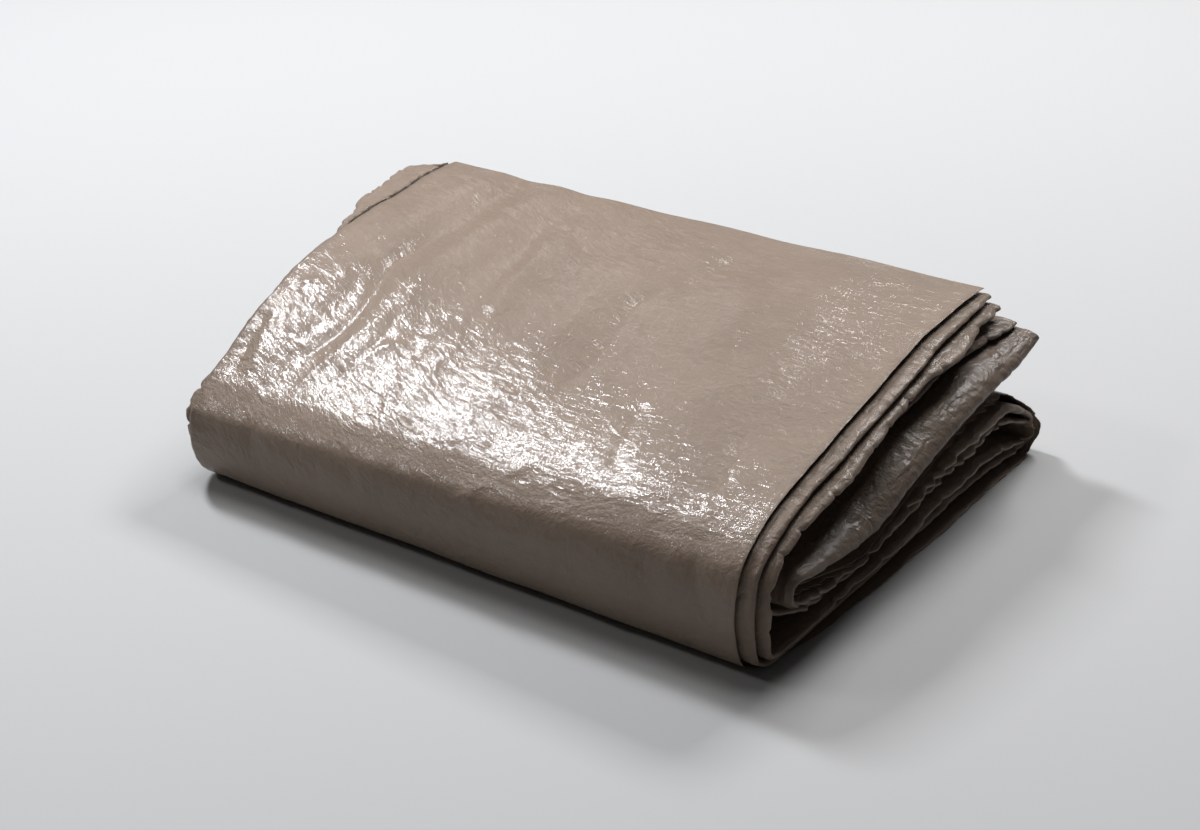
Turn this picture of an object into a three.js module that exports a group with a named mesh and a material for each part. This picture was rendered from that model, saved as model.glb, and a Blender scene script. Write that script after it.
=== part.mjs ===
import * as THREE from 'three';

// Folded ground sheet. One sheet of coated woven cloth lies in five plies, folded back and forth
// across its width, and this strip of plies is folded over three times into a flat pack.
// Millimetres, Z up. X runs along the long folds, Y from the front of the pack to its back.

// Cloth
const SHEET_THICKNESS = 1.8;
const FLOOR_PLY = SHEET_THICKNESS / 2;
const CLOTH_COLOUR = 0xa8978a;

// Where the two profiles of the strip are taken
const RIGHT_PROFILE_X = 260;
const LEFT_PROFILE_X = -255;

// Facets
const PLAIN_COLUMNS = 3;
const LIP_COLUMNS = 4;

// Course of the outermost ply, from the back of the top run round the front, along the floor,
// up the back, forward again and back through the middle of the pack.
// y, z and deep belong to the right profile, yl, zl and deepl to the left one. Deep is the distance
// from the outermost ply to the innermost one, top and tube say which spacing of the plies holds,
// and rows is the number of facets to the next station.
const COURSE = [
  { y: 411, z: 138, deep: 17, yl: 400, zl: 134, deepl: 17, top: 1, tube: 0, rows: 1 },
  { y: 376, z: 143, deep: 18.5, yl: 362, zl: 138, deepl: 18.5, top: 1, tube: 0, rows: 1 },
  { y: 296, z: 146, deep: 20, yl: 290, zl: 139, deepl: 20, top: 1, tube: 0, rows: 2 },
  { y: 206, z: 137, deep: 20, yl: 200, zl: 135, deepl: 20, top: 1, tube: 0, rows: 2 },
  { y: 116, z: 127, deep: 19, yl: 112, zl: 116, deepl: 19, top: 1, tube: 0, rows: 2 },
  { y: 50, z: 115, deep: 17, yl: 46, zl: 90, deepl: 16.5, top: 0.8, tube: 0, rows: 2 },
  { y: 19, z: 103, deep: 16, yl: 18, zl: 77, deepl: 15.5, top: 0.5, tube: 0, rows: 1 },
  { y: 1, z: 86, deep: 15, yl: 0, zl: 62, deepl: 15, top: 0.2, tube: 0, rows: 2 },
  { y: -5, z: 58, deep: 14.5, yl: -4, zl: 42, deepl: 14.5, top: 0, tube: 0, rows: 2 },
  { y: -1, z: 30, deep: 14.5, yl: 0, zl: 22, deepl: 14.5, top: 0, tube: 0, rows: 2 },
  { y: 12, z: 6, deep: 14.5, yl: 12, zl: 5.5, deepl: 14.5, top: 0, tube: 0, rows: 1 },
  { y: 34, z: FLOOR_PLY, deep: 15, yl: 34, zl: FLOOR_PLY, deepl: 14.5, top: 0, tube: 0, rows: 1 },
  { y: 110, z: FLOOR_PLY, deep: 17, yl: 110, zl: FLOOR_PLY, deepl: 16, top: 0, tube: 0, rows: 1 },
  { y: 190, z: FLOOR_PLY, deep: 24, yl: 190, zl: FLOOR_PLY, deepl: 20, top: 0, tube: 0, rows: 1 },
  { y: 280, z: FLOOR_PLY, deep: 30, yl: 280, zl: FLOOR_PLY, deepl: 24, top: 0, tube: 0, rows: 1 },
  { y: 350, z: FLOOR_PLY, deep: 27, yl: 345, zl: FLOOR_PLY, deepl: 23, top: 0, tube: 0, rows: 1 },
  { y: 402, z: 1, deep: 16.5, yl: 391, zl: 1, deepl: 16.5, top: 0, tube: 0, rows: 2 },
  { y: 418, z: 7, deep: 15, yl: 407, zl: 7, deepl: 15, top: 0, tube: 0, rows: 2 },
  { y: 424, z: 21, deep: 15, yl: 413, zl: 20.5, deepl: 15, top: 0, tube: 0, rows: 2 },
  { y: 418, z: 35, deep: 15.5, yl: 407, zl: 34, deepl: 15.5, top: 0, tube: 0, rows: 2 },
  { y: 395, z: 55, deep: 21, yl: 388, zl: 48, deepl: 18, top: 0, tube: 0, rows: 2 },
  { y: 358, z: 75, deep: 34, yl: 356, zl: 60, deepl: 24, top: 0, tube: 0, rows: 1 },
  { y: 300, z: 76, deep: 39, yl: 296, zl: 64, deepl: 32, top: 0, tube: 0, rows: 1 },
  { y: 214, z: 55, deep: 25, yl: 212, zl: 53, deepl: 26, top: 0, tube: 0, rows: 1 },
  { y: 140, z: 37, deep: 15, yl: 140, zl: 43, deepl: 20, top: 0, tube: 0, rows: 1 },
  { y: 84, z: 44, deep: 22, yl: 84, zl: 43, deepl: 20, top: 0, tube: 0, rows: 1 },
  { y: 54, z: 52, deep: 22, yl: 54, zl: 44, deepl: 18, top: 0, tube: 0, rows: 1 },
  { y: 42, z: 57, deep: 19, yl: 42, zl: 47.5, deepl: 15, top: 0, tube: 0.2, rows: 1 },
  { y: 40, z: 61, deep: 18, yl: 40, zl: 51, deepl: 14.5, top: 0, tube: 0.4, rows: 1 },
  { y: 44, z: 64.5, deep: 18, yl: 44, zl: 54, deepl: 14.5, top: 0, tube: 0.6, rows: 1 },
  { y: 84, z: 55, deep: 32, yl: 80, zl: 54, deepl: 20, top: 0, tube: 1, rows: 1 },
  { y: 140, z: 43, deep: 50, yl: 140, zl: 55, deepl: 32, top: 0, tube: 1, rows: 1 },
  { y: 214, z: 62, deep: 47, yl: 212, zl: 62, deepl: 42, top: 0, tube: 1, rows: 1 },
  { y: 300, z: 81, deep: 38, yl: 296, zl: 73, deepl: 40, top: 0, tube: 1, rows: 1 },
  { y: 376, z: 87, deep: 31, yl: 370, zl: 75, deepl: 37, top: 0, tube: 1, rows: 1 },
  { y: 418, z: 97, deep: 19, yl: 408, zl: 79, deepl: 30, top: 0, tube: 1, rows: 0 },
];

// How deep each ply lies in the strip, as a share of deep: in the middle of the top run, at the
// two ends of the top run, at the right end where the inner run swells into a tube, and elsewhere.
const PLIES = [
  { middle: 0, ends: 0, tube: 0, plain: 0 },
  { middle: 0.4, ends: 0.27, tube: 0.13, plain: 0.25 },
  { middle: 0.6, ends: 0.47, tube: 0.7, plain: 0.5 },
  { middle: 0.79, ends: 0.66, tube: 0.81, plain: 0.75 },
  { middle: 1, ends: 1, tube: 1, plain: 1 },
];

// How far the plies reach, by station of the course: the free edge of ply 1, the lip of plies 2
// and 3 and the lip of plies 4 and 5 at the right, the lip of plies 1 and 2, the lip of plies
// 3 and 4 and the free edge of ply 5 at the left.
const REACH = [
  { station: 0, edge1: 244, lip23: 251, lip45: 259, lip12: -282, lip34: -290, edge5: -268 },
  { station: 1, edge1: 246, lip23: 256, lip45: 265, lip12: -277, lip34: -310, edge5: -266 },
  { station: 2, edge1: 249, lip23: 261, lip45: 276, lip12: -271, lip34: -298, edge5: -262 },
  { station: 2.5, edge1: 251, lip23: 264, lip45: 270, lip12: -268, lip34: -284, edge5: -260 },
  { station: 3, edge1: 253, lip23: 266, lip45: 272, lip12: -266, lip34: -268, edge5: -258 },
  { station: 3.5, edge1: 254, lip23: 267, lip45: 277, lip12: -264, lip34: -262, edge5: -255 },
  { station: 4, edge1: 256, lip23: 268, lip45: 281, lip12: -258, lip34: -257, edge5: -252 },
  { station: 5, edge1: 257, lip23: 269, lip45: 279, lip12: -251, lip34: -257, edge5: -248 },
  { station: 6, edge1: 258, lip23: 270, lip45: 277, lip12: -248, lip34: -258, edge5: -244 },
  { station: 7, edge1: 258.5, lip23: 270.5, lip45: 279, lip12: -246, lip34: -256, edge5: -242 },
  { station: 8, edge1: 259, lip23: 271, lip45: 282, lip12: -244, lip34: -252, edge5: -240 },
  { station: 10, edge1: 259, lip23: 270, lip45: 278, lip12: -243, lip34: -249, edge5: -240 },
  { station: 11, edge1: 269, lip23: 273, lip45: 277, lip12: -248, lip34: -252, edge5: -242 },
  { station: 12, edge1: 281, lip23: 277, lip45: 282, lip12: -258, lip34: -255, edge5: -250 },
  { station: 13, edge1: 288, lip23: 281, lip45: 287, lip12: -260, lip34: -256, edge5: -252 },
  { station: 14, edge1: 293, lip23: 284, lip45: 289, lip12: -260, lip34: -257, edge5: -252 },
  { station: 16, edge1: 297, lip23: 291, lip45: 293, lip12: -261, lip34: -262, edge5: -254 },
  { station: 18, edge1: 299, lip23: 295, lip45: 298, lip12: -262, lip34: -266, edge5: -256 },
  { station: 21, edge1: 290, lip23: 297, lip45: 290, lip12: -264, lip34: -258, edge5: -256 },
  { station: 25, edge1: 280, lip23: 281, lip45: 275, lip12: -254, lip34: -249, edge5: -250 },
  { station: 28, edge1: 278, lip23: 284, lip45: 266, lip12: -246, lip34: -241, edge5: -244 },
  { station: 31, edge1: 285, lip23: 291, lip45: 250, lip12: -256, lip34: -262, edge5: -250 },
  { station: 33, edge1: 287, lip23: 295, lip45: 264, lip12: -264, lip34: -270, edge5: -258 },
  { station: 35, edge1: 284, lip23: 293, lip45: 274, lip12: -268, lip34: -274, edge5: -262 },
];

// Columns of the top ply from its free edge to its left lip. Each follows one soft fold of the top
// run: back and front are its places at the two ends of that run, rise is its crest or trough.
const TOP_COLUMNS = [
  { back: 196, front: 216, rise: -0.6 },
  { back: 134, front: 164, rise: 1.2 },
  { back: 60, front: 22, rise: -3.2 },
  { back: 6, front: -20, rise: -1 },
  { back: -62, front: -38, rise: -3.6 },
  { back: -104, front: -56, rise: -1.4 },
  { back: -134, front: -78, rise: -4 },
  { back: -164, front: -140, rise: 0.4 },
  { back: -196, front: -176, rise: -3.7 },
  { back: -228, front: -212, rise: 1.6 },
];
const RISE_BY_STATION = [0.8, 1, 1, 1, 0.9, 0.5, 0.2, 0];
const LAST_TOP_STATION = RISE_BY_STATION.length - 1;

const mix = (a, b, t) => a + (b - a) * t;
const clamp = (value, low, high) => Math.min(high, Math.max(low, value));
const ease = (t) => t * t * (3 - 2 * t);

// Smooth curve through a list of values that never swings past them.
function curve(values) {
  const steps = values.slice(1).map((value, i) => value - values[i]);
  const slopes = values.map((value, i) => {
    if (i === 0 || i === values.length - 1) {
      return steps[Math.min(i, steps.length - 1)];
    }
    const before = steps[i - 1];
    const after = steps[i];
    return before * after > 0 ? (2 * before * after) / (before + after) : 0;
  });
  return (s) => {
    const i = clamp(Math.floor(s), 0, steps.length - 1);
    const t = s - i;
    const t2 = t * t;
    const t3 = t2 * t;
    return values[i] * (2 * t3 - 3 * t2 + 1) + slopes[i] * (t3 - 2 * t2 + t)
      + values[i + 1] * (3 * t2 - 2 * t3) + slopes[i + 1] * (t3 - t2);
  };
}

const course = {};
for (const column of ['y', 'z', 'deep', 'yl', 'zl', 'deepl', 'top', 'tube']) {
  course[column] = curve(COURSE.map((row) => row[column]));
}

// Reach of an edge or lip at any station
function reach(column, s) {
  const next = clamp(REACH.findIndex((row) => row.station > s), 1, REACH.length - 1);
  const index = s >= REACH[REACH.length - 1].station ? REACH.length - 1 : next;
  const low = REACH[index - 1];
  const high = REACH[index];
  const t = clamp((s - low.station) / (high.station - low.station), 0, 1);
  return mix(low[column], high[column], ease(t));
}

// Place of the outermost ply and the direction into the strip, at station s and width x
function frameAt(s, x) {
  const toLeft = clamp((RIGHT_PROFILE_X - x) / (RIGHT_PROFILE_X - LEFT_PROFILE_X), 0, 1);
  const place = (at) => new THREE.Vector2(
    mix(course.y(at), course.yl(at), toLeft),
    mix(course.z(at), course.zl(at), toLeft),
  );
  const last = COURSE.length - 1;
  const ahead = place(Math.min(s + 0.02, last));
  const behind = place(Math.max(s - 0.02, 0));
  const along = ahead.sub(behind).normalize();
  return {
    place: place(s),
    inward: new THREE.Vector2(-along.y, along.x),
    deep: mix(course.deep(s), course.deepl(s), toLeft),
  };
}

// Share of the depth at which a ply lies, at station s and width x
function share(ply, s, x) {
  const nearEnd = ease(clamp(Math.abs(x) / RIGHT_PROFILE_X * 2.2 - 1.2, 0, 1));
  const nearRight = x > 0 ? nearEnd : 0;
  const topShare = mix(PLIES[ply].middle, PLIES[ply].ends, nearEnd);
  const plain = mix(PLIES[ply].plain, topShare, course.top(s));
  return mix(plain, PLIES[ply].tube, course.tube(s) * nearRight);
}

// Point of the cloth's middle at station s, width x, share of the depth and rise above its place
function clothPoint(s, x, depthShare, rise = 0) {
  const frame = frameAt(s, x);
  const depth = frame.deep * depthShare - rise;
  return new THREE.Vector3(
    x,
    frame.place.x + frame.inward.x * depth,
    frame.place.y + frame.inward.y * depth,
  );
}

// Round lip that joins two plies at one end of the strip
function lipPoints(s, side, ply, limit) {
  const from = share(ply, s, limit);
  const to = share(ply + 1, s, limit);
  const radius = (to - from) * frameAt(s, limit).deep / 2;
  const points = [];
  for (let i = 0; i <= LIP_COLUMNS; i += 1) {
    const turn = Math.PI * i / LIP_COLUMNS;
    const x = limit - side * radius * (1 - Math.sin(turn));
    points.push({ x, depthShare: mix(from, to, (1 - Math.cos(turn)) / 2), rise: 0 });
  }
  return points;
}

// All points of one row of the sheet, from the free edge of ply 1 to the free edge of ply 5
function sheetRow(s) {
  const row = [];
  const edge1 = reach('edge1', s);
  row.push({ x: edge1, depthShare: share(0, s, edge1), rise: 0 });
  const forward = clamp(s / LAST_TOP_STATION, 0, 1);
  const low = Math.min(Math.floor(s), LAST_TOP_STATION - 1);
  const strength = mix(RISE_BY_STATION[low], RISE_BY_STATION[low + 1], clamp(s - low, 0, 1));
  for (const fold of TOP_COLUMNS) {
    const x = mix(fold.back, fold.front, forward);
    row.push({ x, depthShare: share(0, s, x), rise: fold.rise * strength });
  }
  const lips = [
    lipPoints(s, -1, 0, reach('lip12', s)),
    lipPoints(s, 1, 1, reach('lip23', s)),
    lipPoints(s, -1, 2, reach('lip34', s)),
    lipPoints(s, 1, 3, reach('lip45', s)),
  ];
  lips.forEach((lip, index) => {
    row.push(...lip);
    const from = lip[lip.length - 1].x;
    const to = index < lips.length - 1 ? lips[index + 1][0].x : reach('edge5', s);
    const columns = index < lips.length - 1 ? PLAIN_COLUMNS - 1 : PLAIN_COLUMNS;
    for (let i = 1; i <= columns; i += 1) {
      const x = mix(from, to, i / PLAIN_COLUMNS);
      row.push({ x, depthShare: share(index + 1, s, x), rise: 0 });
    }
  });
  return row.map((point) => clothPoint(s, point.x, point.depthShare, point.rise));
}

// Stations at which the sheet has a row of points
function stations() {
  const list = [];
  COURSE.forEach((row, index) => {
    for (let i = 0; i < row.rows; i += 1) {
      list.push(index + i / row.rows);
    }
  });
  list.push(COURSE.length - 1);
  return list;
}

// Direction square to the cloth at each point of the grid
function clothNormals(grid) {
  const last = grid.length - 1;
  const end = grid[0].length - 1;
  return grid.map((row, r) => row.map((point, c) => {
    const across = row[Math.min(c + 1, end)].clone().sub(row[Math.max(c - 1, 0)]);
    const along = grid[Math.min(r + 1, last)][c].clone().sub(grid[Math.max(r - 1, 0)][c]);
    return across.cross(along).normalize();
  }));
}

// Closed solid of the sheet: both faces and the four cut edges
function sheetSolid(grid) {
  const normals = clothNormals(grid);
  const rows = grid.length;
  const columns = grid[0].length;
  const positions = [];
  for (const side of [0.5, -0.5]) {
    grid.forEach((row, r) => row.forEach((point, c) => {
      const skin = point.clone().addScaledVector(normals[r][c], side * SHEET_THICKNESS);
      positions.push(skin.x, skin.y, skin.z);
    }));
  }
  const back = rows * columns;
  const at = (r, c) => r * columns + c;
  const indices = [];
  const quad = (a, b, c, d) => indices.push(a, b, c, a, c, d);
  for (let r = 0; r < rows - 1; r += 1) {
    for (let c = 0; c < columns - 1; c += 1) {
      quad(at(r, c), at(r, c + 1), at(r + 1, c + 1), at(r + 1, c));
      quad(back + at(r, c), back + at(r + 1, c), back + at(r + 1, c + 1), back + at(r, c + 1));
    }
  }
  for (let c = 0; c < columns - 1; c += 1) {
    quad(at(0, c), back + at(0, c), back + at(0, c + 1), at(0, c + 1));
    const r = rows - 1;
    quad(at(r, c), at(r, c + 1), back + at(r, c + 1), back + at(r, c));
  }
  for (let r = 0; r < rows - 1; r += 1) {
    quad(at(r, 0), at(r + 1, 0), back + at(r + 1, 0), back + at(r, 0));
    const c = columns - 1;
    quad(at(r, c), back + at(r, c), back + at(r + 1, c), at(r + 1, c));
  }
  const geometry = new THREE.BufferGeometry();
  geometry.setAttribute('position', new THREE.Float32BufferAttribute(positions, 3));
  geometry.setIndex(indices);
  return geometry;
}

const geometry = sheetSolid(stations().map(sheetRow));

// Origin on the floor under the middle of the pack
geometry.computeBoundingBox();
const middle = geometry.boundingBox.getCenter(new THREE.Vector3());
geometry.translate(-middle.x, -middle.y, -geometry.boundingBox.min.z);
geometry.computeVertexNormals();

const groundSheet = new THREE.Mesh(
  geometry,
  new THREE.MeshStandardMaterial({ color: CLOTH_COLOUR, roughness: 0.32, metalness: 0 }),
);
groundSheet.name = 'ground_sheet';

const pack = new THREE.Group();
pack.name = 'folded_ground_sheet';
pack.add(groundSheet);

export default pack;
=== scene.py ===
"""Looks of a folded ground sheet: a glossy coated cloth, folded back and forth into a strip of
plies and the strip folded over into a flat pack. Metres, Z up, in the frame of the CAD part."""

import math

import bpy
import numpy as np
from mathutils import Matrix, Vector


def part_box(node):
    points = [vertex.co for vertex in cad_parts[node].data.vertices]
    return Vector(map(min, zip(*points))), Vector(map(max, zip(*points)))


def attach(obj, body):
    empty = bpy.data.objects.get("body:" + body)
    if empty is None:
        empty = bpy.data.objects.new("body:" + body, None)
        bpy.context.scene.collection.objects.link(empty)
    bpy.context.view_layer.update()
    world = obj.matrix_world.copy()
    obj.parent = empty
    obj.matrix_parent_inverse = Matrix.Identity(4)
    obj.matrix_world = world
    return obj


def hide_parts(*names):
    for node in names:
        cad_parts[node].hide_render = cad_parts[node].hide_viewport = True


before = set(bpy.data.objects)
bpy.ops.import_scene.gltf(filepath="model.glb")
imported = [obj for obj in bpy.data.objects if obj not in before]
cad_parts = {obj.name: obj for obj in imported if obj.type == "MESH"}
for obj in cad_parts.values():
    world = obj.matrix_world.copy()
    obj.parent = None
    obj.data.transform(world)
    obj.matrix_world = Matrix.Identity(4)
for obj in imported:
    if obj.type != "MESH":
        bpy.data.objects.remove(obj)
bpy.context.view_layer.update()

MM = 0.001
SEED = 11

# Where the two profiles of the strip are taken, in millimetres from the middle of the folds
RIGHT_PROFILE_X = 260.0
LEFT_PROFILE_X = -255.0
# Height of the lowest ply over the floor, and thickness of the cloth, in millimetres
FLOOR_PLY = 0.9
CLOTH_THICKNESS = 0.45

# Course of the outermost ply, from the back of the top run round the front, along the floor,
# up the back, forward again and back through the middle. A station is a row, counted from 0.
# y, z and the depth of the strip are for the right profile, those with an l for the left one;
# top and tube say how far the plies lie as in the columns ends and tube of PLIES; facet is the
# size of a facet.
COURSE_COLUMNS = ("y", "z", "deep", "yl", "zl", "deepl", "top", "tube", "facet")
COURSE = [
    (411, 138, 17, 400, 134, 17, 1, 0, 2.7),
    (376, 143, 18.5, 362, 138, 18.5, 1, 0, 2.7),
    (296, 146, 20, 290, 139, 20, 1, 0, 2.7),
    (206, 137, 20, 200, 135, 20, 1, 0, 2.7),
    (116, 127, 19, 112, 116, 19, 1, 0, 2.7),
    (50, 115, 17, 46, 90, 16.5, 0.8, 0, 2.7),
    (19, 103, 16, 18, 77, 15.5, 0.5, 0, 2.7),
    (1, 86, 15, 0, 62, 15, 0.2, 0, 2.7),
    (-5, 58, 14.5, -4, 42, 14.5, 0, 0, 2.7),
    (-1, 30, 14.5, 0, 22, 14.5, 0, 0, 2.7),
    (12, 6, 14.5, 12, 5.5, 14.5, 0, 0, 2.7),
    (34, FLOOR_PLY, 15, 34, FLOOR_PLY, 14.5, 0, 0, 5),
    (110, FLOOR_PLY, 17, 110, FLOOR_PLY, 16, 0, 0, 5),
    (190, FLOOR_PLY, 24, 190, FLOOR_PLY, 20, 0, 0, 5),
    (280, FLOOR_PLY, 30, 280, FLOOR_PLY, 24, 0, 0, 5),
    (350, FLOOR_PLY, 27, 345, FLOOR_PLY, 23, 0, 0, 4),
    (402, 1, 16.5, 391, 1, 16.5, 0, 0, 3),
    (418, 7, 15, 407, 7, 15, 0, 0, 3),
    (424, 21, 15, 413, 20.5, 15, 0, 0, 3),
    (418, 35, 15.5, 407, 34, 15.5, 0, 0, 3),
    (395, 55, 21, 388, 48, 18, 0, 0, 4),
    (358, 75, 34, 356, 60, 24, 0, 0, 5),
    (300, 76, 39, 296, 64, 32, 0, 0, 5),
    (214, 55, 25, 212, 53, 26, 0, 0, 5),
    (140, 37, 15, 140, 43, 20, 0, 0, 5),
    (84, 44, 22, 84, 43, 20, 0, 0, 4),
    (54, 52, 22, 54, 44, 18, 0, 0, 2.5),
    (42, 57, 19, 42, 47.5, 15, 0, 0.2, 1.5),
    (40, 61, 18, 40, 51, 14.5, 0, 0.4, 1.5),
    (44, 64.5, 18, 44, 54, 14.5, 0, 0.6, 3),
    (84, 55, 32, 80, 54, 20, 0, 1, 4),
    (140, 43, 50, 140, 55, 32, 0, 1, 4),
    (214, 62, 47, 212, 62, 42, 0, 1, 4),
    (300, 81, 38, 296, 73, 40, 0, 1, 4),
    (376, 87, 31, 370, 75, 37, 0, 1, 4),
    (418, 97, 19, 408, 79, 30, 0, 1, 4),
]

# How deep each ply lies in the strip, as a share of its depth: in the middle and at the ends of
# the top run, at the right end of the inner runs, which swells into a tube, and elsewhere
PLY_COLUMNS = ("middle", "ends", "tube", "plain")
PLIES = [
    (0, 0, 0, 0),
    (0.4, 0.27, 0.13, 0.25),
    (0.6, 0.47, 0.7, 0.5),
    (0.79, 0.66, 0.81, 0.75),
    (1, 1, 1, 1),
]

# How far edges and lips reach, by station of the course, positive to the right
REACH_COLUMNS = ("station", "edge1", "lip23", "lip45", "lip12", "lip34", "edge5")
REACH = [
    (0, 244, 251, 259, -282, -290, -268),
    (1, 246, 256, 265, -277, -310, -266),
    (2, 249, 261, 276, -271, -298, -262),
    (2.5, 251, 264, 270, -268, -284, -260),
    (3, 253, 266, 272, -266, -268, -258),
    (3.5, 254, 267, 277, -264, -262, -255),
    (4, 256, 268, 281, -258, -257, -252),
    (5, 257, 269, 279, -251, -257, -248),
    (6, 258, 270, 277, -248, -258, -244),
    (7, 258.5, 270.5, 279, -246, -256, -242),
    (8, 259, 271, 282, -244, -252, -240),
    (10, 259, 270, 278, -243, -249, -240),
    (11, 269, 273, 277, -248, -252, -242),
    (12, 281, 277, 282, -258, -255, -250),
    (13, 288, 281, 287, -260, -256, -252),
    (14, 293, 284, 289, -260, -257, -252),
    (16, 297, 291, 293, -261, -262, -254),
    (18, 299, 295, 298, -262, -266, -256),
    (21, 290, 297, 290, -264, -258, -256),
    (25, 280, 281, 275, -254, -249, -250),
    (28, 278, 284, 266, -246, -241, -244),
    (31, 285, 291, 250, -256, -262, -250),
    (33, 287, 295, 264, -264, -270, -258),
    (35, 284, 293, 274, -268, -274, -262),
]

# Soft folds of the top ply: where each lies at the back and at the front, and its rise. Then
# how strongly each station of the course shows them.
TOP_FOLD_COLUMNS = ("back", "front", "rise")
TOP_FOLDS = [
    (262, 258, 0),
    (196, 216, -0.6),
    (134, 164, 1.2),
    (60, 22, -3.2),
    (6, -20, -1),
    (-62, -38, -3.6),
    (-104, -56, -1.4),
    (-134, -78, -4),
    (-164, -140, 0.4),
    (-196, -176, -3.7),
    (-228, -212, 1.6),
    (-275, -252, 0),
]
RISE_BY_STATION = [0.4, 0.8, 1, 1, 0.9, 0.5, 0.2, 0]

# Creases of the top ply, laid one by one: places (x, y) along the crease in millimetres, the half
# width of the trough or ridge, and its height, negative for a trough
CREASES = [
    ("main trough", [(-188, 258), (-192, 199), (-173, 140), (-170, 101), (-186, 55)], 5.5, -2.3),
    ("ridge beside it", [(-204, 262), (-206, 205), (-187, 150), (-183, 105), (-198, 60)], 7, 1.2),
    ("back of the trough", [(-228, 372), (-179, 294), (-184, 257)], 6, -1.3),
    ("second fold", [(-131, 322), (-102, 256), (-95, 205), (-65, 118)], 9, -1.7),
    ("ridge by the second fold", [(-118, 322), (-88, 256), (-80, 205), (-48, 118)], 9, 0.9),
    ("wedge left", [(-148, 160), (-150, 110), (-160, 66), (-168, 36)], 4.5, 1.1),
    ("wedge right", [(-137, 143), (-132, 100), (-139, 44)], 4.5, -1.3),
    ("long streak", [(-90, 127), (-112, 108), (-127, 97), (-142, 48)], 4, 1.0),
    ("branch", [(-169, 204), (-150, 172), (-137, 143)], 5, 0.9),
    ("corner dent", [(-247, 132), (-226, 116), (-206, 104)], 4, -1.6),
    ("corner ridge", [(-244, 136), (-236, 140), (-226, 148)], 4, 1.3),
    ("corner line", [(-236, 118), (-222, 92), (-210, 66)], 4, -1.1),
    ("left line", [(-248, 100), (-238, 66), (-226, 30)], 4, -1.0),
    ("left ridge", [(-240, 112), (-230, 76), (-214, 40)], 4.5, 0.9),
    ("small dent", [(-229, 224), (-216, 210), (-200, 197)], 4.5, -1.1),
    ("back dent", [(-111, 328), (-84, 308), (-57, 284)], 6, -1.2),
    ("back dent left", [(-206, 350), (-192, 338), (-179, 322)], 5, -1.1),
    ("middle fold", [(30, 262), (26, 237), (34, 196), (42, 150), (38, 88)], 9, -1.7),
    ("middle ridge", [(46, 250), (42, 220), (52, 170), (56, 110)], 10, 0.8),
    ("back middle", [(54, 360), (48, 316), (62, 270)], 10, -1.4),
    ("soft ridge", [(-20, 310), (-14, 220), (6, 130)], 13, 1.2),
    ("right fold", [(120, 330), (130, 240), (148, 160)], 13, -1.1),
    ("front fold", [(104, 120), (116, 84), (124, 40)], 7, -1.2),
    ("front right fold", [(190, 124), (202, 90), (214, 44)], 7, -1.2),
    ("right end dent", [(206, 150), (222, 132), (242, 120)], 5, -1.0),
]
# Creases of the rounded front, laid one by one as places (x, z) in the same way
FRONT_CREASES = [
    ("crossing line", [(8, 60), (50, 91), (90, 120)], 3, 0.6),
    ("short line", [(20, 84), (43, 62)], 3.5, 0.8),
    ("long line", [(47, 54), (84, 62), (122, 62)], 3, 0.6),
    ("trough under it", [(36, 44), (84, 52), (132, 53)], 6, -0.9),
    ("left dent", [(-186, 68), (-166, 30)], 7, -1.2),
    ("shoulder dent", [(-112, 82), (-84, 66), (-72, 44)], 8, -1.1),
    ("low dent", [(-62, 54), (-30, 20)], 9, -1.1),
    ("low ridge", [(118, 42), (150, 14)], 8, 0.9),
    ("right dent", [(178, 80), (198, 40)], 8, -1.2),
    ("right end line", [(219, 92), (238, 46)], 6, -1.3),
]

# The flap of a deeper fold beside the top ply at the left end: how far it stands up, the width of
# its step, its distance from the lip, and the station where it ends
FLAP_RISE = 4.5
FLAP_STEP = 1.4
FLAP_GAP = 4.5
FLAP_END = 2.9
# The groove between the flap and the top ply
GROOVE_DEPTH = 2.5
GROOVE_WIDTH = 16

# How ragged the ends of the low group are, by station of the course
LOW_GROUP = (
    [0, 12, 14, 17, 20, 22, 26, 28, 30, 35],
    [0, 0.1, 0.3, 0.8, 1.2, 1.6, 1.2, 0.8, 0.3, 0.2],
)
# How crumpled the lips are, by station of the course
CRUMPLED = (
    [0, 2, 4, 7, 9, 14, 18, 24, 27, 30, 35],
    [0.7, 1, 1, 0.6, 0.5, 0.8, 1.3, 1.1, 0.7, 0.5, 0.5],
)
# How deep the creases along the folds are, by station of the course
STREAKED = ([0, 4, 8, 12, 26, 29, 35], [0.5, 0.6, 0.4, 0.6, 0.7, 1, 1])

# Small wrinkles, in millimetres: kind of noise, height, width across the pack, length along the
# course, and layer of the noise, counted from that of the ply where they have one of their own
BROAD = [("soft", 0.9, 95, 70, 1), ("soft", 0.3, 30, 48, 2)]
FINE = [("sharp", 0.15, 40, 15, 0), ("soft", 0.1, 22, 11, 1)]
LEFT_FAN = [("sharp", 0.2, 15, 55, 3), ("sharp", 0.13, 7, 22, 5)]
PUCKERS = [("sharp", 0.9, 60, 15, 12), ("soft", 0.4, 30, 6, 18)]
STREAKS = [("sharp", 0.8, 9, 70, 20), ("sharp", 0.3, 4, 30, 22)]
FLAP_CREASES = [("sharp", 0.5, 12, 14, 31), ("sharp", 0.3, 7, 6, 32)]
CREASE_WOBBLE = [("soft", 1.6, 18, 18, 3)]
# Noise layer of the outermost ply, and how far puckers and streaks reach in from a lip
FIRST_PLY_LAYER = 4
PUCKER_LENGTH = 24
STREAK_LENGTH = 45
# Slant of the fan of creases at the left end
FAN_COS = 0.8
FAN_SIN = 0.6
# Strength of the puckers of the outermost ply at its left and its right, and of all its wrinkles
# at the very back
OUTER_PUCKERS = (0.5, 0.3)
CALM_BACK = 0.35

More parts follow.
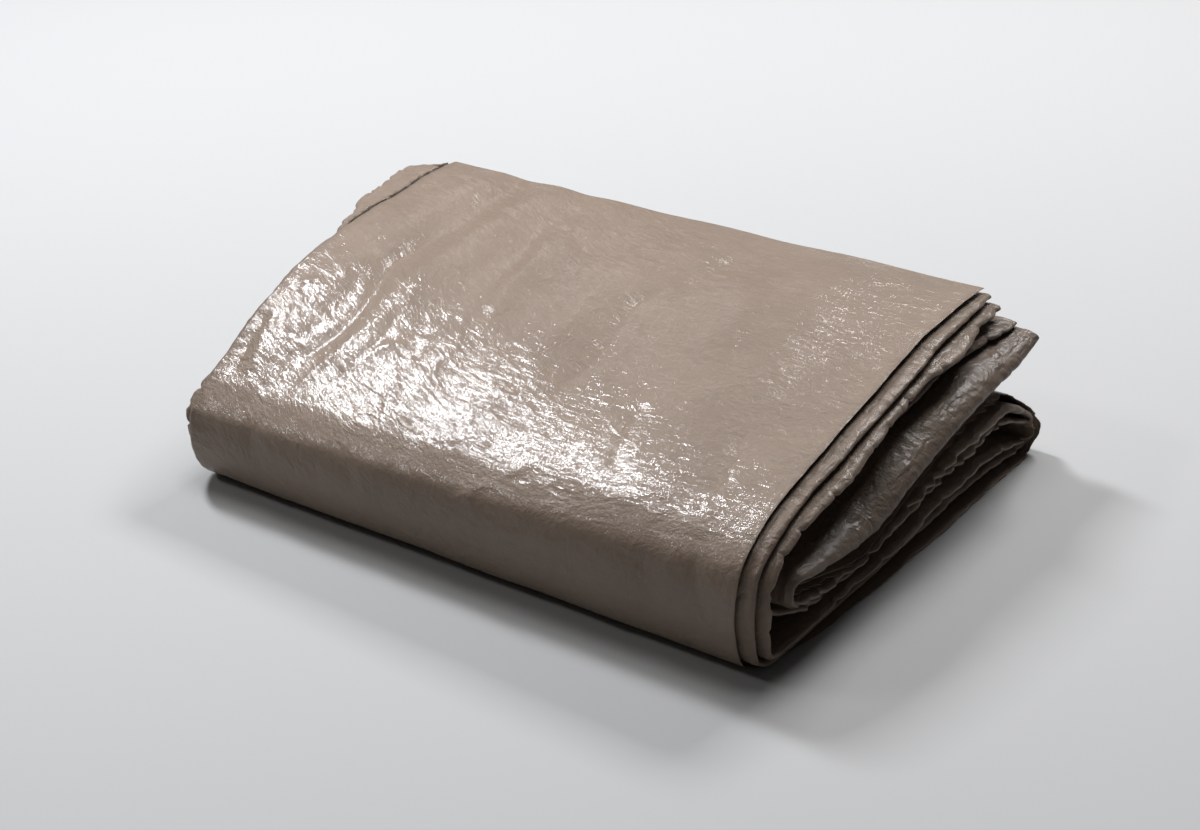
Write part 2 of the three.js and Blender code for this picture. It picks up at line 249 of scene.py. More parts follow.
# Waves along lips and edges: kind of noise, height, length, and layer of the noise, counted from
# that of the lip or edge
EDGE_LAYERS = {"edge1": 21, "lip12": 22, "lip23": 23, "lip34": 24, "lip45": 25, "edge5": 26}
EDGE_WAVES = [("soft", 0.8, 60, 0), ("soft", 0.25, 9, 7)]
FREE_EDGE_CALM = 0.5
LOOSE_LIPS = ("lip34", "lip45")
LOOSE_WAVES = [("soft", 2.2, 48, 0), ("soft", 0.5, 9, 7)]
RAGGED_WAVES = [("sharp", 2.6, 21, 3), ("sharp", 1.6, 8, 5)]
# Notches of the loose lips: only what rises above the level is cut in
NOTCH_WAVES = [("sharp", 1, 33, 9)]
NOTCH_LEVEL = 0.62
NOTCH_DEPTH = 9
# Lips are longer than a half circle and creased along their middle
LIP_LENGTH = 1.7
LIP_WAVES = [("soft", 0.5, 26, 19)]
LIP_SHARPNESS = 1.5
LIP_FACETS = 14

# Shape of one crease: sharpness of its section, and share of its length in which it dies out
CREASE_SHARPNESS = 1.4
CREASE_END = 0.2
# How quickly the plies draw together towards the ends of the pack
END_STEEPNESS = 2.2
# Share of its depth that the strip loses at the back right corner
BACK_PINCH = 0.35
# No wrinkle pushes the cloth lower than this
LOWEST = 0.6 * FLOOR_PLY

# How dull the film is and how dark the cloth is painted: along the free edge, where painted shade
# stands for its shadow line, and along the left lip, in bands of so many millimetres, and from the
# front on, where painted shade darkens the side away from the lamps
FREE_EDGE_BAND = 5
LEFT_EDGE_BAND = 13
LEFT_EDGE_CRUSHED = 0.8
FRONT_DULL_AND_SHADED = 0.65
# How much glossier and less darkened the flap is than the inner plies, and how much painted shade
# darkens the inner runs, which the many thin plies between them would shade
FLAP_GLOSS = 0.6
INNER_RUN_SHADE = 0.5

# Grids of the pieces, in millimetres: half the width of a ply, its coarse facets, and the number
# of columns of the fine grid of the top ply, which stops at the given station
HALF_WIDTH = 262
COARSE_FACET = 36
TOP_COLUMNS = 193
TOP_STOP = 11.6

# Right end and front of the solid, in the millimetres of these tables
RIGHTMOST = 299.0
FRONTMOST = -5.9

# Colours of the cloth, and the share of its brightness that it keeps under the most painted shade,
# which darkens the inner plies, the edges and the front along with their duller film
DARK_BROWN = (0.262, 0.196, 0.151, 1)
LIGHT_BROWN = (0.300, 0.228, 0.176, 1)
PAINTED_SHADE_BRIGHTNESS = 0.56
# Film: its roughness from one patch to another, and its weight on smooth and on crushed cloth
FILM_ROUGHNESS = (0.07, 0.13)
FILM_WEIGHT = (0.62, 0.16)
# How far the crinkles turn along the course at the left end, in millimetres
CRINKLE_TURN = 130

# Floor: its size in metres, and the two greys between which it varies
FLOOR_SIZE = 14
FLOOR_GREYS = (0.48, 0.51)

# Lights: name, direction seen from the pack, distance, size, power and colour
LIT_PLACE = Vector((0, 0, 0.1))
COOL, WHITE = (0.94, 0.96, 1.0), (1, 1, 1)
LIGHTS = [
    ("key", (-0.64, 0.23, 0.73), 2.6, (0.3, 0.75), 54, COOL),
    ("back", (0.0, 0.77, 0.66), 2.8, (1.1, 0.55), 50, WHITE),
    ("overhead", (-0.1, 0.1, 1), 3.0, (1.3, 1.3), 30, WHITE),
    ("window", (-0.55, 0.7, 0.45), 3.0, (0.4, 0.3), 1.4, WHITE),
    ("ridge", (-0.62, -0.42, 0.66), 3.0, (0.5, 0.2), 9, WHITE),
]
WORLD_BRIGHTNESS = 0.035

# Camera at the photo's angle. It aims at a place in the metres of the photo's fit.
AZIMUTH = math.radians(33.6)
ELEVATION = math.radians(28.5)
DISTANCE = 1.799
AIM = (0.0, 0.219, 0.035)
LENS = 66
SENSOR = 36


def columns(names, rows):
    """Columns of a table, by name."""
    return {name: np.array([row[i] for row in rows], float) for i, name in enumerate(names)}


course = columns(COURSE_COLUMNS, COURSE)
plies = columns(PLY_COLUMNS, PLIES)
reaches = columns(REACH_COLUMNS, REACH)
top_folds = columns(TOP_FOLD_COLUMNS, TOP_FOLDS)
LAST = len(COURSE) - 1


def ease(t):
    """Smooth step from 0 to 1."""
    return t * t * (3 - 2 * t)


def mix(a, b, t):
    """Value between a and b, at the share t of the way."""
    return a + (b - a) * t


def fade_in(value, start, over):
    """0 up to start, then smoothly up to 1 over the stretch after it."""
    return ease(np.clip((value - start) / over, 0, 1))


def fade_out(value, end, over):
    """1 at first, then smoothly down to 0 over the stretch before end."""
    return ease(np.clip((end - value) / over, 0, 1))


def bell(value, middle, half, power=2):
    """1 at the middle, falling off smoothly to both sides."""
    return np.exp(-(((value - middle) / half) ** power))


def smooth_curve(values, s):
    """Smooth curve through the values at whole numbers that never swings past them."""
    steps = np.diff(values)
    before, after = steps[:-1], steps[1:]
    total = np.where(before + after == 0, 1, before + after)
    inner = np.where(before * after > 0, 2 * before * after / total, 0)
    slopes = np.concatenate([[steps[0]], inner, [steps[-1]]])
    i = np.clip(np.floor(s).astype(int), 0, len(steps) - 1)
    t = s - i
    t2, t3 = t * t, t * t * t
    return (
        values[i] * (2 * t3 - 3 * t2 + 1)
        + slopes[i] * (t3 - 2 * t2 + t)
        + values[i + 1] * (3 * t2 - 2 * t3)
        + slopes[i + 1] * (t3 - t2)
    )


def reach(column, s):
    """Reach of an edge or lip at station s."""
    at = reaches["station"]
    i = np.clip(np.searchsorted(at, s, side="right"), 1, len(at) - 1)
    t = np.clip((s - at[i - 1]) / (at[i] - at[i - 1]), 0, 1)
    values = reaches[column]
    return mix(values[i - 1], values[i], ease(t))


# Random numbers of the noise, the same on every run
_random = np.random.default_rng(SEED)
_shuffle = np.tile(_random.permutation(256), 3)
_angle = _random.random(256) * 2 * math.pi


def noise(x, y, layer=0):
    """Smooth noise between about -1 and 1, one bump about as wide as 1."""
    x = np.asarray(x, float) + 17.3 * layer
    y = np.asarray(y, float) + 9.7 * layer
    x0, y0 = np.floor(x), np.floor(y)
    fx, fy = x - x0, y - y0
    xi, yi = x0.astype(int) % 256, y0.astype(int) % 256

    def corner(dx, dy):
        turn = _angle[_shuffle[_shuffle[xi + dx] + yi + dy] % 256]
        return np.cos(turn) * (fx - dx) + np.sin(turn) * (fy - dy)

    wx, wy = fx**3 * (fx * (fx * 6 - 15) + 10), fy**3 * (fy * (fy * 6 - 15) + 10)
    low = mix(corner(0, 0), corner(1, 0), wx)
    high = mix(corner(0, 1), corner(1, 1), wx)
    return 1.5 * mix(low, high, wy)


def crumple(x, y, layer=0):
    """Noise with sharp crests, as in creased film."""
    return 1 - 2 * np.abs(noise(x, y, layer)) ** 0.8


NOISES = {"soft": noise, "sharp": crumple}


def layered(rows, x, y, layer=0):
    """Sum of the noises in a table of small wrinkles."""
    total = 0
    for kind, height, wide, long, own_layer in rows:
        total = total + height * NOISES[kind](x / wide, y / long, layer + own_layer)
    return total


def waves(rows, v, layer):
    """Sum of the noises in a table of waves along an edge."""
    total = 0
    for kind, height, long, own_layer in rows:
        total = total + height * NOISES[kind](v / long, 0 * v, layer + own_layer)
    return total


def toward_left(x):
    """0 at the right profile and beyond it, 1 at the left one."""
    return np.clip((RIGHT_PROFILE_X - x) / (RIGHT_PROFILE_X - LEFT_PROFILE_X), 0, 1)


def place(s, x):
    """Place (y, z) of the outermost ply at station s and width x."""
    left = toward_left(x)
    y = mix(smooth_curve(course["y"], s), smooth_curve(course["yl"], s), left)
    z = mix(smooth_curve(course["z"], s), smooth_curve(course["zl"], s), left)
    return y, z


def depth(s, x):
    """Distance from the outermost ply to the innermost one, pinched at the back corner."""
    pinch = BACK_PINCH * bell(s, middle=18.2, half=1.3) * fade_in(x, start=225, over=60)
    deep = mix(smooth_curve(course["deep"], s), smooth_curve(course["deepl"], s), toward_left(x))
    return deep * (1 - pinch)


def share(ply, s, x):
    """Share of the depth at which a ply lies."""
    near_end = ease(np.clip(1 + (np.abs(x) / RIGHT_PROFILE_X - 1) * END_STEEPNESS, 0, 1))
    near_right = np.where(x > 0, near_end, 0)
    top_share = mix(plies["middle"][ply], plies["ends"][ply], near_end)
    plain = mix(plies["plain"][ply], top_share, smooth_curve(course["top"], s))
    tube = smooth_curve(course["tube"], s)
    return mix(plain, plies["tube"][ply], tube * near_right)


# Length of the cloth along the course, at the middle of the pack
_fine = np.linspace(0, LAST, 4001)
_y, _z = place(_fine, np.zeros_like(_fine))
_run = np.concatenate([[0], np.cumsum(np.hypot(np.diff(_y), np.diff(_z)))])


def length_at(s):
    """Length of the cloth from the start of the course to station s."""
    return np.interp(s, _fine, _run)


def rows_between(start, stop, scale=1.0):
    """Stations of the rows of a piece, spaced by the facet column."""
    marks = [start]
    tiny = 1e-9
    while marks[-1] < stop - tiny:
        i = int(marks[-1] + tiny)
        end = min(i + 1, stop)
        span = length_at(end) - length_at(marks[-1])
        count = max(1, int(round(span / (course["facet"][i] * scale))))
        run = np.linspace(length_at(marks[-1]), length_at(end), count + 1)[1:]
        marks.extend(np.interp(run, _run, _fine).tolist())
        marks[-1] = end
    return np.array(marks)


def crease_rise(points, half, height, x, y):
    """One crease: a bent line with a soft V section that dies out at both ends."""
    nearest = np.full(x.shape, np.inf)
    along = np.zeros(x.shape)
    wobble = layered(CREASE_WOBBLE, x, y)
    pieces = len(points) - 1
    for k in range(pieces):
        (x0, y0), (x1, y1) = points[k], points[k + 1]
        dx, dy = x1 - x0, y1 - y0
        t = np.clip(((x - x0) * dx + (y - y0) * dy) / (dx * dx + dy * dy), 0, 1)
        away = np.hypot(x - x0 - t * dx, y - y0 - t * dy)
        side = np.sign((x - x0) * dy - (y - y0) * dx)
        away = np.abs(away * side + wobble)
        nearer = away < nearest
        nearest = np.where(nearer, away, nearest)
        along = np.where(nearer, (k + t) / pieces, along)
    section = np.exp(-((nearest / half) ** CREASE_SHARPNESS))
    return height * section * fade_in(along, 0, CREASE_END) * fade_out(along, 1, CREASE_END)


def soft_folds(s, x):
    """Rise of the soft folds of the top ply."""
    stations = np.arange(len(RISE_BY_STATION))
    forward = np.clip(s / stations[-1], 0, 1)
    at = [mix(back, front, forward) for back, front in zip(top_folds["back"], top_folds["front"])]
    rise = np.zeros_like(x)
    for i in range(len(at) - 1):
        t = (x - at[i]) / (at[i + 1] - at[i])
        here = mix(top_folds["rise"][i], top_folds["rise"][i + 1], ease(np.clip(t, 0, 1)))
        rise = np.where((t >= 0) & (t < 1), here, rise)
    return rise * np.interp(s, stations, RISE_BY_STATION)


def top_rise(s, x, y, z):
    """Soft folds and creases of the top ply and its rounded front."""
    rise = soft_folds(s, x)
    on_top = fade_out(s, end=8.6, over=2)
    for _, points, half, height in CREASES:
        rise = rise + on_top * crease_rise(points, half, height, x, y)
    on_front = fade_in(s, start=4.8, over=0.6) * fade_out(s, end=10.3, over=1)
    for _, points, half, height in FRONT_CREASES:
        rise = rise + on_front * crease_rise(points, half, height, x, z)
    return rise


def wrinkles(ply, s, x, to_lip):
    """Rise of the small wrinkles of a ply, to_lip being the distance to the nearest lip or edge."""
    v = length_at(s)
    layer = FIRST_PLY_LAYER + ply
    fan_x, fan_v = FAN_COS * x - FAN_SIN * v, FAN_SIN * x + FAN_COS * v
    on_fan = bell(x, middle=-225, half=75) * bell(v, middle=260, half=170, power=4)
    rise = layered(BROAD, x, v) + layered(FINE, x, v, layer)
    rise = rise + on_fan * layered(LEFT_FAN, fan_x, fan_v, layer)
    puckers = np.exp(-to_lip / PUCKER_LENGTH) * layered(PUCKERS, x, v, layer)
    if ply == 0:
        # The outermost ply is smooth where it lies on the floor, and calmer at the back of the top
        rise = rise + np.where(x < 0, *OUTER_PUCKERS) * puckers
        off_floor = 1 - bell(s, middle=13.3, half=1.9, power=4)
        return rise * off_floor * mix(CALM_BACK, 1, fade_in(s, start=0, over=1.5))
    streaks = np.exp(-to_lip / STREAK_LENGTH) * layered(STREAKS, x, v, layer)
    rise = rise + np.interp(s, *CRUMPLED) * puckers + np.interp(s, *STREAKED) * streaks
    return rise * fade_in(np.abs(x), start=44, over=60)


def lip_limit(name, s):
    """Reach of a lip or an edge with its small waves."""
    v = length_at(s)
    layer = EDGE_LAYERS[name]
    wave = waves(EDGE_WAVES, v, layer)
    if name == "edge1":
        wave = wave * FREE_EDGE_CALM
    if name in LOOSE_LIPS:
        notches = np.maximum(waves(NOTCH_WAVES, v, layer) - NOTCH_LEVEL, 0)
        wave = waves(LOOSE_WAVES, v, layer) - np.sign(reach(name, s)) * NOTCH_DEPTH * notches
    ragged = np.maximum(waves(RAGGED_WAVES, v, layer), 0)
    return reach(name, s) + wave - np.interp(s, *LOW_GROUP) * ragged


class Strip:
    """Grid of places of a piece of the strip, built up of runs across the folds."""

    def __init__(self, s):
        self.s = s
        self.middle = np.zeros_like(s)
        self.runs = []

    def flat(self, ply, start, stop, shares):
        """Run of a ply from the width start to the width stop."""
        x = mix(start[:, None], stop[:, None], np.asarray(shares)[None, :])
        s = np.repeat(self.s[:, None], x.shape[1], 1)
        self.runs.append((x, share(ply, s, x), np.full(x.shape, ply, float)))

    def lip_size(self, ply, name):
        """Reach of a lip, the side it is on, its length, and the depth shares it joins."""
        limit = lip_limit(name, self.s)
        side = 1 if np.mean(limit) > 0 else -1
        outer, inner = share(ply, self.s, limit), share(ply + 1, self.s, limit)
        long = LIP_LENGTH + waves(LIP_WAVES, length_at(self.s), EDGE_LAYERS[name])
        length = (inner - outer) * depth(self.s, limit) / 2 * long
        return limit, side, length, outer, inner

    def root(self, ply, name):
        """Width at which the lip called name leaves the flat ply."""
        limit, side, length, _, _ = self.lip_size(ply, name)
        return limit - side * length

    def lip(self, ply, name):
        """Creased lip from ply to the next one, at the end called name."""
        limit, side, length, outer, inner = self.lip_size(ply, name)
        turn = np.linspace(0, math.pi, LIP_FACETS + 1)[None, 1:]
        x = limit[:, None] - side * length[:, None] * (1 - np.sin(turn) ** LIP_SHARPNESS)
        inward = (1 - np.cos(turn)) / 2
        self.runs.append((x, mix(outer[:, None], inner[:, None], inward), ply + inward + 0 * x))


def flap_rise(s, x, ply, flap_starts):
    """Rise of the flap beside the top ply at the left end, with the groove between them."""
    along = fade_out(s, FLAP_END, over=0.5) * (ply > 1.5)
    flap = np.clip((flap_starts - x) / FLAP_STEP, 0, 1) * along
    groove = fade_out(x, flap_starts + GROOVE_WIDTH, over=8) * along - flap
    height = FLAP_RISE + layered(FLAP_CREASES, x, length_at(s))
    return flap * height - GROOVE_DEPTH * groove


def crush_and_shade_share(s, x, ply, flap_starts):
    """How dull and crushed the film is, and how much painted shade darkens the cloth: none on the
    glossy top, all of it on the inner plies.
    """
    # Painted shade and duller film along the free edge, for its shadow line
    free_edge = np.exp(-np.abs(x - reach("edge1", s)) / FREE_EDGE_BAND)
    left_edge = LEFT_EDGE_CRUSHED * bell(x, middle=reach("lip12", s), half=LEFT_EDGE_BAND)
    # Painted shade and duller film from the front on, which faces away from the lamps
    front = FRONT_DULL_AND_SHADED * fade_in(s, start=6.2, over=1.4)
    inner = ply + np.maximum(free_edge, left_edge)
    on_flap = fade_out(x, flap_starts - 2, over=3) * fade_out(s, FLAP_END, over=0.5) * (ply > 1.5)
    # Painted shade on the inner runs, for the thin plies that would shade them
    shaded = INNER_RUN_SHADE * fade_in(s, start=25, over=3) * np.clip(ply, 0, 1)
    return np.clip(np.maximum(inner, front), 0, 1) * (1 - FLAP_GLOSS * on_flap) + shaded


def strip_points(strip, left_name, right_name):
    """Points of a strip in millimetres with all its wrinkles, and how crushed and painted with
    shade they are.
    """
    x, deep_share, ply = (np.concatenate(parts, 1) for parts in zip(*strip.runs))
    s = np.repeat(strip.s[:, None], x.shape[1], 1)
    y, z = place(s, x)
    step = 0.02
    y_after, z_after = place(np.minimum(s + step, LAST), x)
    y_before, z_before = place(np.maximum(s - step, 0), x)
    along_y, along_z = y_after - y_before, z_after - z_before
    size = np.hypot(along_y, along_z)
    to_lip = np.minimum(np.abs(x - reach(right_name, s)), np.abs(x - reach(left_name, s)))
    flap_starts = lip_limit("lip12", strip.s)[:, None] - FLAP_GAP
    rise = flap_rise(s, x, ply, flap_starts)
    for k in range(len(PLIES)):
        near_ply = np.clip(1 - np.abs(ply - k), 0, 1)
        if near_ply.max() > 0:
            rise = rise + near_ply * wrinkles(k, s, x, to_lip)
    outer = np.clip(1 - ply, 0, 1)
    if outer.max() > 0:
        rise = rise + outer * top_rise(s, x, y, z)
    deep = depth(s, x) * deep_share - rise
    y, z = y - along_z / size * deep, z + along_y / size * deep
    z = np.maximum(z, LOWEST)
    return np.stack([x, y, z], 2), crush_and_shade_share(s, x, ply, flap_starts)


# The CAD part has its origin under the middle of its bounding box
low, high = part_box("ground_sheet")
SHIFT = np.array([high.x / MM - RIGHTMOST, low.y / MM - FRONTMOST, 0.0])


def grid_faces(rows, cols):
    """Four-sided faces between the points of a grid."""
    r, c = np.meshgrid(np.arange(rows - 1), np.arange(cols - 1), indexing="ij")
    first = (r * cols + c).ravel()
    return np.stack([first, first + 1, first + cols + 1, first + cols], 1)


def running_length(grid, axis):
    """Length of the cloth up to each point of a grid, along one of its axes."""
    steps = np.linalg.norm(np.diff(grid, axis=axis), axis=2)
    start = np.zeros_like(np.take(steps, [0], axis))
    return np.concatenate([start, np.cumsum(steps, axis)], axis)


def mesh_piece(name, grid, crush_and_shade, material):
    """Thin sheet through a grid of points in millimetres, and its flat size in metres."""
    mesh = bpy.data.meshes.new(name)
    points = (grid.reshape(-1, 3) + SHIFT) * MM
    mesh.from_pydata(points.tolist(), [], grid_faces(*grid.shape[:2]).tolist())
    mesh.update()
    across, along = running_length(grid, 1), running_length(grid, 0)
    flat = (float(across[:, -1].mean()) * MM, float(along[-1].mean()) * MM)
    cloth = np.stack([across, along.mean(1)[:, None] + 0 * across], 2)
    # The crinkles turn at the left end, where the photo has them run slantwise
    turned = cloth.copy()
    turned[:, :, 1] += CRINKLE_TURN * bell(grid[:, :, 0], middle=-290, half=190)
    loops = np.zeros(len(mesh.loops), np.int32)
    mesh.loops.foreach_get("vertex_index", loops)
    # The first map is the plain one, which any other material of this cloth would use
    for layer, values in (("cloth", cloth), ("crinkle", turned)):
        uv = mesh.uv_layers.new(name=layer)
        uv.data.foreach_set("uv", (values.reshape(-1, 2)[loops] * MM).astype(np.float32).ravel())
    # Share of crushed, dull film and of painted shade at each point
    ends = mesh.attributes.new(name="crush_and_shade", type="FLOAT", domain="POINT")
    ends.data.foreach_set("value", crush_and_shade.ravel().astype(np.float32))
    mesh.polygons.foreach_set("use_smooth", np.ones(len(mesh.polygons), bool))
    mesh.materials.append(material)
    piece = bpy.data.objects.new(name, mesh)
    bpy.context.scene.collection.objects.link(piece)
    solid = piece.modifiers.new("thickness", "SOLIDIFY")
    solid.thickness = CLOTH_THICKNESS * MM
    solid.offset = 0
    # Shading follows the large facets, so that rims and the joins between pieces don't show
    piece.modifiers.new("shading", "WEIGHTED_NORMAL").weight = 75
    return piece, flat


class ClothShading:
    """Nodes of the cloth's material, with a short call for each kind that is needed."""

    def __init__(self, name):
        self.material = bpy.data.materials.new(name)
        self.material.use_nodes = True
        self.tree = self.material.node_tree
        self.shader = self.tree.nodes["Principled BSDF"]
        self.places = self.node("UVMap", {}, uv_map="crinkle").outputs[0]
        # Share of crushed film and of painted shade, which darkens the colour and dulls the film
        self.crush_and_shade = self.node("Attribute", {}, attribute_name="crush_and_shade").outputs["Fac"]

    def feed(self, socket, source):
        """Wires an output to an input, or sets the input to a plain value."""
        if isinstance(source, bpy.types.NodeSocket):
            self.tree.links.new(source, socket)
        else:
            socket.default_value = source

    def node(self, kind, inputs, **settings):
        """New node with its settings made, and then its inputs fed by name or number."""
        node = self.tree.nodes.new("ShaderNode" + kind)
        for key, value in settings.items():
            setattr(node, key, value)
        for key, source in inputs.items():
            self.feed(node.inputs[key], source)
        return node

    def stretched(self, across, along):
        """Places on the cloth in metres, scaled across and along the folds."""
        return self.node("Mapping", {"Vector": self.places, "Scale": (across, along, 1)}).outputs[0]

    def noise(self, places, scale, detail, roughness=0.5, distortion=0.0, output="Fac"):
        """Soft noise on the cloth, as a number or as a colour."""
        inputs = {"Vector": places, "Scale": scale, "Detail": detail}
        inputs.update({"Roughness": roughness, "Distortion": distortion})
        return self.node("TexNoise", inputs).outputs[output]

    def ramp(self, value, low_at, high_at, low_value, high_value):
        """Straight ramp between two values, level before and after it."""
        inputs = {"Value": value, "From Min": low_at, "From Max": high_at}
        inputs.update({"To Min": low_value, "To Max": high_value})
        return self.node("MapRange", inputs).outputs[0]

    def numbers(self, operation, first, second=0.0):
        """Operation on two numbers."""
        return self.node("Math", {0: first, 1: second}, operation=operation).outputs[0]

    def vectors(self, operation, first, second=(0.0, 0.0, 0.0)):
        """Operation on two vectors."""
        return self.node("VectorMath", {0: first, 1: second}, operation=operation).outputs[0]

    def scaled(self, vector, scale):
        """Vector made longer or shorter."""
        return self.node("VectorMath", {0: vector, "Scale": scale}, operation="SCALE").outputs[0]

    def bump(self, height, distance, before=None):
        """Normal bent by a height map, on top of the normal before it."""
        inputs = {"Height": height, "Distance": distance, "Strength": 1.0}
        if before is not None:
            inputs["Normal"] = before
        return self.node("Bump", inputs).outputs[0]

    def crest(self, value):
        """Soft noise folded over at its middle into sharp creases."""
        return self.numbers("ABSOLUTE", self.numbers("SUBTRACT", value, 0.5))

    def shifts(self, colour, size):
        """Random colours turned into random shifts either way."""
        return self.scaled(self.vectors("SUBTRACT", colour, (0.5, 0.5, 0.5)), size)

    def ragged(self, places, scale, shift):
        """Places pushed about, so that cells get ragged outlines."""
        colour = self.noise(places, scale, detail=2, output="Color")
        return self.vectors("ADD", places, self.shifts(colour, shift))

    def tilts(self, places, scale, tilt):
        """Small flat facets of film, each tilted its own way."""
        cells = self.node("TexVoronoi", {"Vector": places, "Scale": scale})
        return self.shifts(cells.outputs["Color"], 2 * tilt)

    def crease_lines(self, places, scale, width):
        """Thin ridges along the borders of cells, 1 on the line and 0 beside it."""
        inputs = {"Vector": places, "Scale": scale}
        cells = self.node("TexVoronoi", inputs, feature="DISTANCE_TO_EDGE")
        return self.ramp(cells.outputs["Distance"], 0, width, 1, 0)


def cloth_colour(cloth):
    """Warm brown with soft blotches, darkened by painted shade on the inner plies, the edges and
    the front.
    """
    blotches = cloth.noise(cloth.stretched(1, 1), scale=9, detail=7, roughness=0.7)
    tone = cloth.ramp(blotches, 0.35, 0.65, 0, 1)
    # The colours of this node are its inputs 6 and 7 and its output 2
    brown = cloth.node("Mix", {0: tone, 6: DARK_BROWN, 7: LIGHT_BROWN}, data_type="RGBA")
    # Painted shade: the colour gets darker where the share of crush and shade is high
    shade = cloth.ramp(cloth.crush_and_shade, 0.3, 1.5, 1, PAINTED_SHADE_BRIGHTNESS)
    return cloth.scaled(brown.outputs[2], shade)


def cloth_relief(cloth):
    """Normals of the cloth under the film and of its dull base, which is crinkled more."""
    even = cloth.stretched(1, 1)
    wide = cloth.stretched(0.35, 1)
    ripples = cloth.crest(cloth.noise(wide, scale=70, detail=3, roughness=0.55, distortion=0.8))
    long = cloth.stretched(1, 0.6)
    dents = cloth.crest(cloth.noise(long, scale=60, detail=2, distortion=0.5))
    crumpled = cloth.numbers("MULTIPLY", dents, cloth.crush_and_shade)
    bent = cloth.ragged(cloth.stretched(0.6, 1), scale=30, shift=0.02)
    patches = cloth.ramp(cloth.noise(even, scale=16, detail=2), 0.42, 0.6, 0, 1)
    lines = cloth.numbers("MULTIPLY", cloth.crease_lines(bent, scale=36, width=0.09), patches)
    grain = cloth.noise(even, scale=260, detail=3, roughness=0.6)
    weave = cloth.noise(even, scale=800, detail=2)
    soft = cloth.bump(ripples, distance=0.0007)
    soft = cloth.bump(crumpled, distance=0.0028, before=soft)
    soft = cloth.bump(lines, distance=0.00026, before=soft)
    soft = cloth.bump(grain, distance=0.0003, before=soft)
    soft = cloth.bump(weave, distance=0.00016, before=soft)
    less_wide = cloth.stretched(0.8, 1)
    creases = cloth.noise(less_wide, scale=38, detail=4, roughness=0.62, distortion=0.6)
    dull = cloth.bump(cloth.crest(creases), distance=0.0025, before=soft)
    dull = cloth.bump(grain, distance=0.0003, before=dull)
    return soft, dull


def cloth_film(cloth, soft):
    """Normal of the film: that of the cloth, broken into small tilted facets."""
    flakes = cloth.stretched(0.16, 1)
    large = cloth.tilts(cloth.ragged(flakes, scale=420, shift=0.0015), scale=360, tilt=0.046)
    small = cloth.tilts(cloth.ragged(flakes, scale=900, shift=0.0004), scale=950, tilt=0.075)
    facets = cloth.vectors("ADD", large, small)
    return cloth.vectors("NORMALIZE", cloth.vectors("ADD", soft, facets))


def cloth_material():
    """Dull warm cloth under a thin glossy film."""
    cloth = ClothShading("sheet_cloth")
    gloss = cloth.noise(cloth.stretched(1, 2), scale=40, detail=3, roughness=0.6)
    soft, dull = cloth_relief(cloth)
    looks = {
        "Base Color": cloth_colour(cloth),
        "Roughness": 0.5,
        "IOR": 1.4,
        "Specular IOR Level": 0.25,
        "Coat IOR": 1.5,
        "Coat Roughness": cloth.ramp(gloss, 0.3, 0.7, *FILM_ROUGHNESS),
        "Coat Weight": cloth.ramp(cloth.crush_and_shade, 0, 1, *FILM_WEIGHT),
        "Normal": dull,
        "Coat Normal": cloth_film(cloth, soft),
    }
    for name, source in looks.items():
        cloth.feed(cloth.shader.inputs[name], source)
    return cloth.material


def half_ply(fine=48, facet=3.0):
    """Shares of a half ply from its lip to the middle: fine facets first, then coarse ones."""
    near = np.arange(0, fine, facet)
    coarse = np.linspace(fine, HALF_WIDTH, int((HALF_WIDTH - fine) / COARSE_FACET) + 1)
    return np.concatenate([near, coarse]) / HALF_WIDTH


def build_strips():
    """The pieces of the sheet: name, strip, and the lips or edges at its left and right."""
    ends = half_ply()
    top = Strip(rows_between(0, TOP_STOP))
    shares = np.linspace(0, 1, TOP_COLUMNS)
    top.flat(0, lip_limit("edge1", top.s), top.root(0, "lip12"), shares)
    top.lip(0, "lip12")
    top.flat(1, top.root(0, "lip12"), top.middle, ends[1:])
    yield "top_ply", top, "lip12", "edge1"

    lower = Strip(rows_between(TOP_STOP, LAST))
    lower.flat(0, lip_limit("edge1", lower.s), lower.middle, ends)
    lower.flat(0, lower.middle, lower.root(0, "lip12"), 1 - ends[-2::-1])
    lower.lip(0, "lip12")
    lower.flat(1, lower.root(0, "lip12"), lower.middle, ends[1:])
    yield "lower_ply", lower, "lip12", "edge1"

    s = rows_between(0, LAST, scale=1.25)
    for name, ply, lip, shares in (
        ("second_fold", 1, "lip23", ends),
        ("third_fold", 2, "lip34", half_ply(fine=40, facet=0.8)),
        ("fourth_fold", 3, "lip45", ends),
    ):
        fold = Strip(s)
        fold.flat(ply, fold.middle, fold.root(ply, lip), 1 - shares[::-1])
        fold.lip(ply, lip)
        fold.flat(ply + 1, fold.root(ply, lip), fold.middle, shares[1:])
        yield name, fold, lip, lip

    inner = Strip(s)
    inner.flat(4, inner.middle, lip_limit("edge5", s), 1 - ends[::-1])
    yield "inner_ply", inner, "edge5", "edge5"


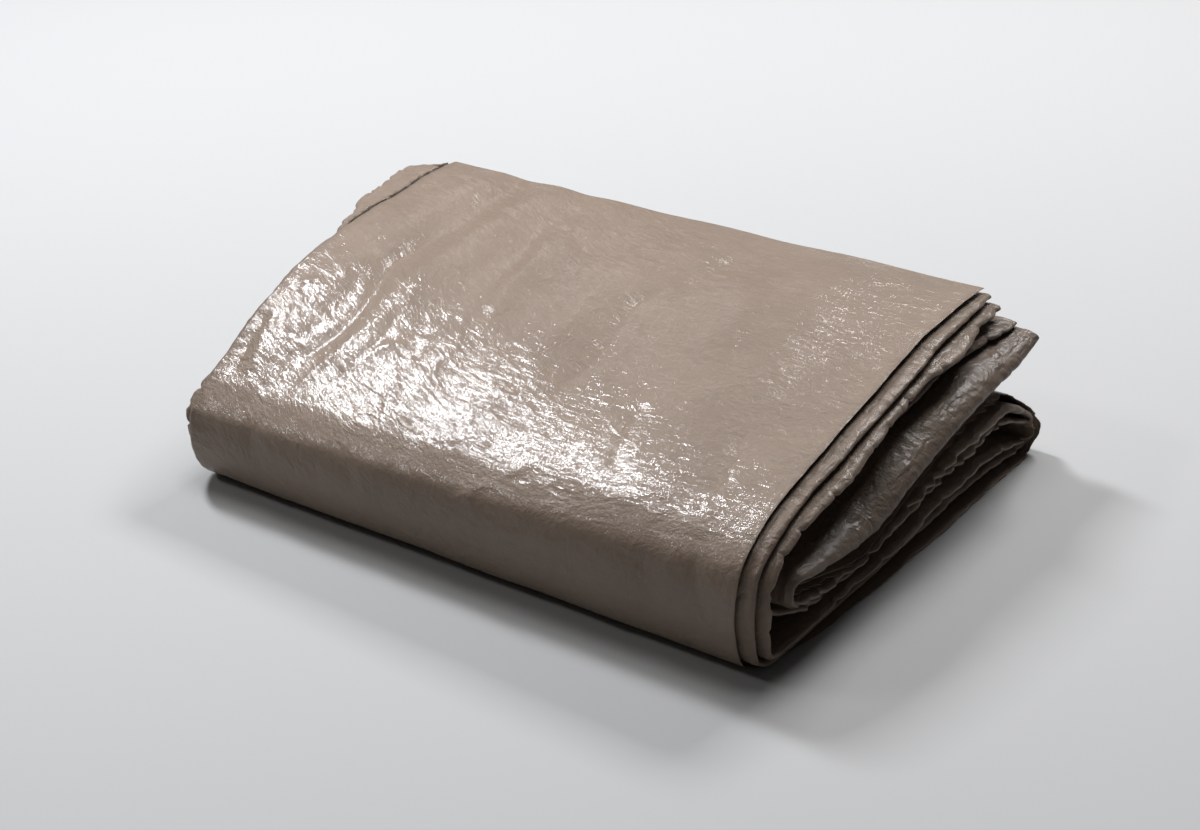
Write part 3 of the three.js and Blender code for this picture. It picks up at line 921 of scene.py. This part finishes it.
def floor_material():
    """Pale, matte and nearly even."""
    material = bpy.data.materials.new("pale_floor")
    material.use_nodes = True
    nodes, links = material.node_tree.nodes, material.node_tree.links
    shader = nodes["Principled BSDF"]
    tone = nodes.new("ShaderNodeTexNoise")
    tone.inputs["Scale"].default_value = 3
    ramp = nodes.new("ShaderNodeMapRange")
    ramp.inputs["To Min"].default_value = FLOOR_GREYS[0]
    ramp.inputs["To Max"].default_value = FLOOR_GREYS[1]
    links.new(tone.outputs["Fac"], ramp.inputs["Value"])
    links.new(ramp.outputs[0], shader.inputs["Base Color"])
    shader.inputs["Roughness"].default_value = 0.7
    return material


def add_floor():
    """Floor much wider than the view."""
    bpy.ops.mesh.primitive_plane_add(size=FLOOR_SIZE, location=(0, 0, 0))
    floor = bpy.context.object
    floor.name = "floor"
    floor.data.materials.append(floor_material())


def add_light(name, direction, distance, size, power, colour):
    """Soft rectangular light that shines on the pack from the given direction."""
    light = bpy.data.lights.new(name, "AREA")
    light.shape = "RECTANGLE"
    light.size, light.size_y = size
    light.energy = power
    light.color = colour
    lamp = bpy.data.objects.new(name, light)
    bpy.context.scene.collection.objects.link(lamp)
    lamp.location = LIT_PLACE + Vector(direction).normalized() * distance
    lamp.rotation_euler = (lamp.location - LIT_PLACE).to_track_quat("Z", "Y").to_euler()


def set_world():
    """Faint even light from all round."""
    world = bpy.data.worlds.new("studio")
    bpy.context.scene.world = world
    world.use_nodes = True
    background = world.node_tree.nodes["Background"]
    background.inputs[0].default_value = (1, 1, 1, 1)
    background.inputs[1].default_value = WORLD_BRIGHTNESS


def add_camera():
    """Camera at the photo's angle."""
    flat = math.cos(ELEVATION)
    back = Vector((math.sin(AZIMUTH) * flat, -math.cos(AZIMUTH) * flat, math.sin(ELEVATION)))
    data = bpy.data.cameras.new("camera")
    data.sensor_width = SENSOR
    data.lens = LENS
    camera = bpy.data.objects.new("camera", data)
    bpy.context.scene.collection.objects.link(camera)
    camera.location = Vector(AIM) + Vector(SHIFT * MM) + back * DISTANCE
    camera.rotation_euler = back.to_track_quat("Z", "Y").to_euler()
    bpy.context.scene.camera = camera


cloth = cloth_material()
for name, strip, left_name, right_name in build_strips():
    piece, flat = mesh_piece(name, *strip_points(strip, left_name, right_name), cloth)
    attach(piece, "root")
    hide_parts("ground_sheet")

add_floor()
for light in LIGHTS:
    add_light(*light)
set_world()
add_camera()
bpy.context.scene.view_settings.view_transform = "Standard"
